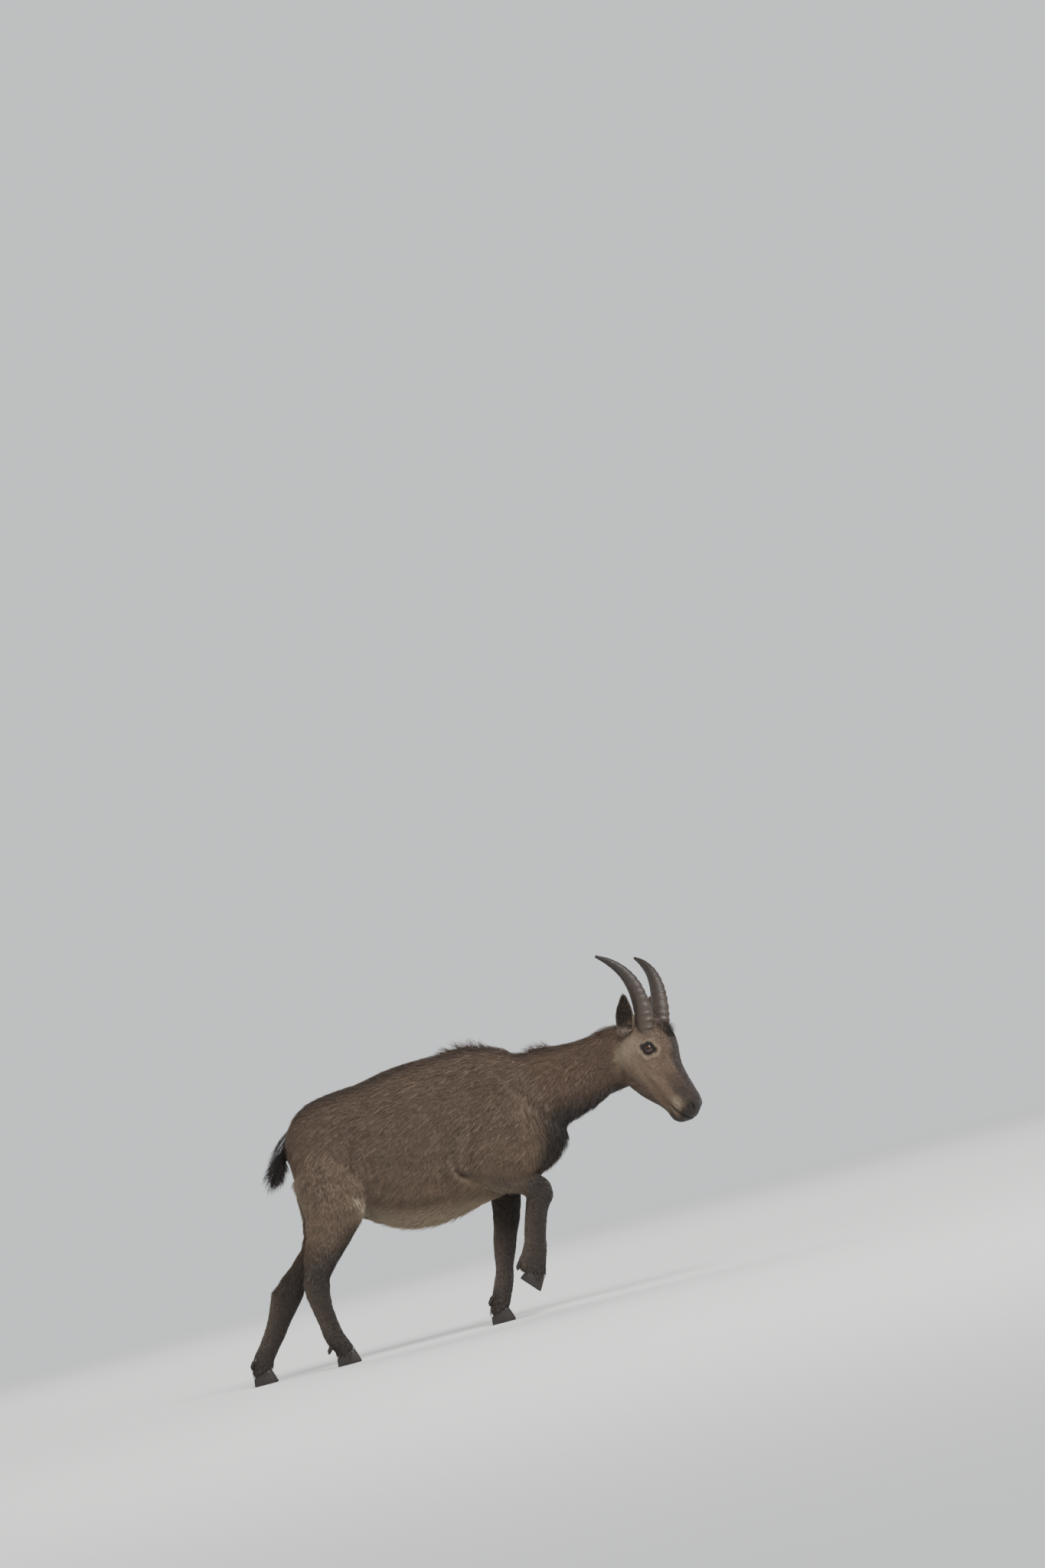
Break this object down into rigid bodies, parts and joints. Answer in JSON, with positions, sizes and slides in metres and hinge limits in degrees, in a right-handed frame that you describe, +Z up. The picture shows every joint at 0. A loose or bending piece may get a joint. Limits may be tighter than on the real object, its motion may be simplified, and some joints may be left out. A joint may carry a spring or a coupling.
{
  "type": "alpine ibex nanny, life-size still model",
  "caption": "Life-size still model of an alpine ibex nanny walking uphill with one foreleg raised and her head turned to the side.",
  "frame": {"origin": "on the floor, at the middle of the animal's bounding box", "axes": "+X forward along the body, +Y to the animal's left, +Z up"},
  "size_m": [1.3126, 0.3172, 0.8608],
  "materials": {
    "coat": "matte grey-brown hair",
    "dark_coat": "matte dark brown hair",
    "face": "short matte brown hair",
    "horn": "satin ridged horn",
    "eye": "polished amber iris with a level slit pupil",
    "hoof": "worn black hoof"
  },
  "bodies": {
    "root": {"torso": "coat", "neck": "coat", "head": "face", "ear_left": "face", "ear_right": "face", "eye_left": "eye", "eye_right": "eye", "horn_left": "horn", "horn_right": "horn", "tail": "dark_coat", "foreleg_left_forearm": "dark_coat", "foreleg_left_cannon": "dark_coat", "foreleg_left_pastern": "dark_coat", "foreleg_left_claw_inner": "hoof", "foreleg_left_claw_outer": "hoof", "foreleg_left_dewclaw_inner": "hoof", "foreleg_left_dewclaw_outer": "hoof", "foreleg_right_forearm": "dark_coat", "foreleg_right_cannon": "dark_coat", "foreleg_right_pastern": "dark_coat", "foreleg_right_claw_inner": "hoof", "foreleg_right_claw_outer": "hoof", "foreleg_right_dewclaw_inner": "hoof", "foreleg_right_dewclaw_outer": "hoof", "hindleg_left_thigh": "coat", "hindleg_left_cannon": "dark_coat", "hindleg_left_pastern": "dark_coat", "hindleg_left_claw_inner": "hoof", "hindleg_left_claw_outer": "hoof", "hindleg_left_dewclaw_inner": "hoof", "hindleg_left_dewclaw_outer": "hoof", "hindleg_right_thigh": "coat", "hindleg_right_cannon": "dark_coat", "hindleg_right_pastern": "dark_coat", "hindleg_right_claw_inner": "hoof", "hindleg_right_claw_outer": "hoof", "hindleg_right_dewclaw_inner": "hoof", "hindleg_right_dewclaw_outer": "hoof"}
  },
  "joints": []
}
